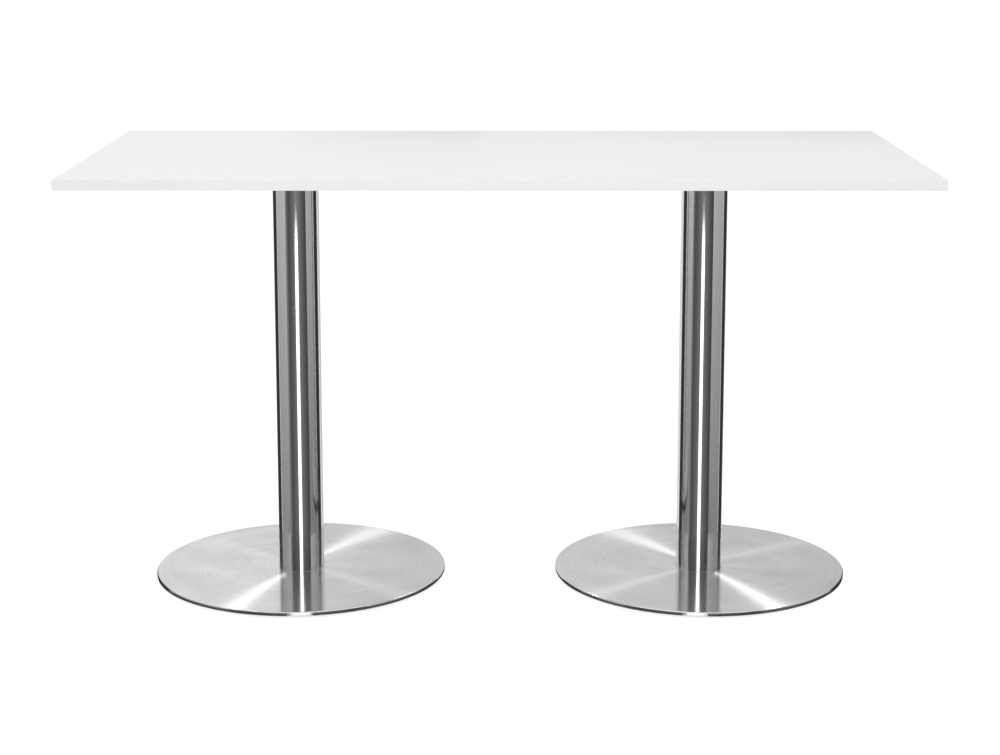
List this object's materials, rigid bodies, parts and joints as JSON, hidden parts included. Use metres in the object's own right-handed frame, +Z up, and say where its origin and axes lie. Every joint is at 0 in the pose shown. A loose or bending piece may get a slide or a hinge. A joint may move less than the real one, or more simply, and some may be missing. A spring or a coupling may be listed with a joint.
{
  "type": "standing meeting table",
  "caption": "Rectangular standing-height meeting table: white laminate top on round stainless columns, each on a flat brushed floor disc with levelling feet.",
  "frame": {"origin": "on the floor under the middle of the tabletop, feet screwed right in", "axes": "+X along the tabletop, +Y towards its back edge, +Z up"},
  "size_m": [2, 1, 1.07],
  "materials": {
    "white_laminate": "satin white high-pressure laminate",
    "white_edge_band": "satin white ABS edging",
    "board_core": "raw particle board",
    "brushed_stainless": "brushed stainless, turned round the axis",
    "ballast_plate": "dark primer on steel",
    "cast_spider": "black powder coat on casting",
    "zinc_steel": "zinc plated",
    "black_nylon": "moulded nylon"
  },
  "bodies": {
    "table": {"top_laminate": "white_laminate", "underside_laminate": "white_laminate", "front_edge_band": "white_edge_band", "back_edge_band": "white_edge_band", "left_edge_band": "white_edge_band", "right_edge_band": "white_edge_band", "tabletop_core": "board_core", "left_base_cover": "brushed_stainless", "left_column": "brushed_stainless", "left_base_plate": "ballast_plate", "left_spider": "cast_spider", "left_locating_ring": "zinc_steel", "left_tie_rod": "zinc_steel", "left_rod_washer": "zinc_steel", "left_rod_nut": "zinc_steel", "left_front_outer_spider_screw": "zinc_steel", "left_front_outer_screw_insert": "zinc_steel", "left_front_inner_spider_screw": "zinc_steel", "left_front_inner_screw_insert": "zinc_steel", "left_back_inner_spider_screw": "zinc_steel", "left_back_inner_screw_insert": "zinc_steel", "left_back_outer_spider_screw": "zinc_steel", "left_back_outer_screw_insert": "zinc_steel", "right_base_cover": "brushed_stainless", "right_column": "brushed_stainless", "right_base_plate": "ballast_plate", "right_spider": "cast_spider", "right_locating_ring": "zinc_steel", "right_tie_rod": "zinc_steel", "right_rod_washer": "zinc_steel", "right_rod_nut": "zinc_steel", "right_front_outer_spider_screw": "zinc_steel", "right_front_outer_screw_insert": "zinc_steel", "right_front_inner_spider_screw": "zinc_steel", "right_front_inner_screw_insert": "zinc_steel", "right_back_inner_spider_screw": "zinc_steel", "right_back_inner_screw_insert": "zinc_steel", "right_back_outer_spider_screw": "zinc_steel", "right_back_outer_screw_insert": "zinc_steel"},
    "left_front_outer_pad": {"left_front_outer_levelling_pad": "black_nylon"},
    "left_front_outer_stem": {"left_front_outer_levelling_stem": "zinc_steel"},
    "left_front_inner_pad": {"left_front_inner_levelling_pad": "black_nylon"},
    "left_front_inner_stem": {"left_front_inner_levelling_stem": "zinc_steel"},
    "left_back_inner_pad": {"left_back_inner_levelling_pad": "black_nylon"},
    "left_back_inner_stem": {"left_back_inner_levelling_stem": "zinc_steel"},
    "left_back_outer_pad": {"left_back_outer_levelling_pad": "black_nylon"},
    "left_back_outer_stem": {"left_back_outer_levelling_stem": "zinc_steel"},
    "right_front_outer_pad": {"right_front_outer_levelling_pad": "black_nylon"},
    "right_front_outer_stem": {"right_front_outer_levelling_stem": "zinc_steel"},
    "right_front_inner_pad": {"right_front_inner_levelling_pad": "black_nylon"},
    "right_front_inner_stem": {"right_front_inner_levelling_stem": "zinc_steel"},
    "right_back_inner_pad": {"right_back_inner_levelling_pad": "black_nylon"},
    "right_back_inner_stem": {"right_back_inner_levelling_stem": "zinc_steel"},
    "right_back_outer_pad": {"right_back_outer_levelling_pad": "black_nylon"},
    "right_back_outer_stem": {"right_back_outer_levelling_stem": "zinc_steel"}
  },
  "joints": [
    {"name": "left_front_outer_foot_height", "type": "slide", "parent": "table", "child": "left_front_outer_pad", "axis": [0, 0, -1], "range_m": [0, 0.004]},
    {"name": "left_front_outer_stem_turn", "type": "hinge", "parent": "left_front_outer_pad", "child": "left_front_outer_stem", "pos_m": [-0.73269, -0.22769, 0.0056], "axis": [0, 0, -1], "range_deg": [0, 1152]},
    {"name": "left_front_inner_foot_height", "type": "slide", "parent": "table", "child": "left_front_inner_pad", "axis": [0, 0, -1], "range_m": [0, 0.004]},
    {"name": "left_front_inner_stem_turn", "type": "hinge", "parent": "left_front_inner_pad", "child": "left_front_inner_stem", "pos_m": [-0.27731, -0.22769, 0.0056], "axis": [0, 0, -1], "range_deg": [0, 1152]},
    {"name": "left_back_inner_foot_height", "type": "slide", "parent": "table", "child": "left_back_inner_pad", "axis": [0, 0, -1], "range_m": [0, 0.004]},
    {"name": "left_back_inner_stem_turn", "type": "hinge", "parent": "left_back_inner_pad", "child": "left_back_inner_stem", "pos_m": [-0.27731, 0.22769, 0.0056], "axis": [0, 0, -1], "range_deg": [0, 1152]},
    {"name": "left_back_outer_foot_height", "type": "slide", "parent": "table", "child": "left_back_outer_pad", "axis": [0, 0, -1], "range_m": [0, 0.004]},
    {"name": "left_back_outer_stem_turn", "type": "hinge", "parent": "left_back_outer_pad", "child": "left_back_outer_stem", "pos_m": [-0.73269, 0.22769, 0.0056], "axis": [0, 0, -1], "range_deg": [0, 1152]},
    {"name": "right_front_outer_foot_height", "type": "slide", "parent": "table", "child": "right_front_outer_pad", "axis": [0, 0, -1], "range_m": [0, 0.004]},
    {"name": "right_front_outer_stem_turn", "type": "hinge", "parent": "right_front_outer_pad", "child": "right_front_outer_stem", "pos_m": [0.73269, -0.22769, 0.0056], "axis": [0, 0, -1], "range_deg": [0, 1152]},
    {"name": "right_front_inner_foot_height", "type": "slide", "parent": "table", "child": "right_front_inner_pad", "axis": [0, 0, -1], "range_m": [0, 0.004]},
    {"name": "right_front_inner_stem_turn", "type": "hinge", "parent": "right_front_inner_pad", "child": "right_front_inner_stem", "pos_m": [0.27731, -0.22769, 0.0056], "axis": [0, 0, -1], "range_deg": [0, 1152]},
    {"name": "right_back_inner_foot_height", "type": "slide", "parent": "table", "child": "right_back_inner_pad", "axis": [0, 0, -1], "range_m": [0, 0.004]},
    {"name": "right_back_inner_stem_turn", "type": "hinge", "parent": "right_back_inner_pad", "child": "right_back_inner_stem", "pos_m": [0.27731, 0.22769, 0.0056], "axis": [0, 0, -1], "range_deg": [0, 1152]},
    {"name": "right_back_outer_foot_height", "type": "slide", "parent": "table", "child": "right_back_outer_pad", "axis": [0, 0, -1], "range_m": [0, 0.004]},
    {"name": "right_back_outer_stem_turn", "type": "hinge", "parent": "right_back_outer_pad", "child": "right_back_outer_stem", "pos_m": [0.73269, 0.22769, 0.0056], "axis": [0, 0, -1], "range_deg": [0, 1152]}
  ],
  "couplings": [
    {"joint": "left_front_outer_foot_height", "follows": "left_front_outer_stem_turn", "m_per_rad": 0.00019894},
    {"joint": "left_front_inner_foot_height", "follows": "left_front_inner_stem_turn", "m_per_rad": 0.00019894},
    {"joint": "left_back_inner_foot_height", "follows": "left_back_inner_stem_turn", "m_per_rad": 0.00019894},
    {"joint": "left_back_outer_foot_height", "follows": "left_back_outer_stem_turn", "m_per_rad": 0.00019894},
    {"joint": "right_front_outer_foot_height", "follows": "right_front_outer_stem_turn", "m_per_rad": 0.00019894},
    {"joint": "right_front_inner_foot_height", "follows": "right_front_inner_stem_turn", "m_per_rad": 0.00019894},
    {"joint": "right_back_inner_foot_height", "follows": "right_back_inner_stem_turn", "m_per_rad": 0.00019894},
    {"joint": "right_back_outer_foot_height", "follows": "right_back_outer_stem_turn", "m_per_rad": 0.00019894}
  ]
}
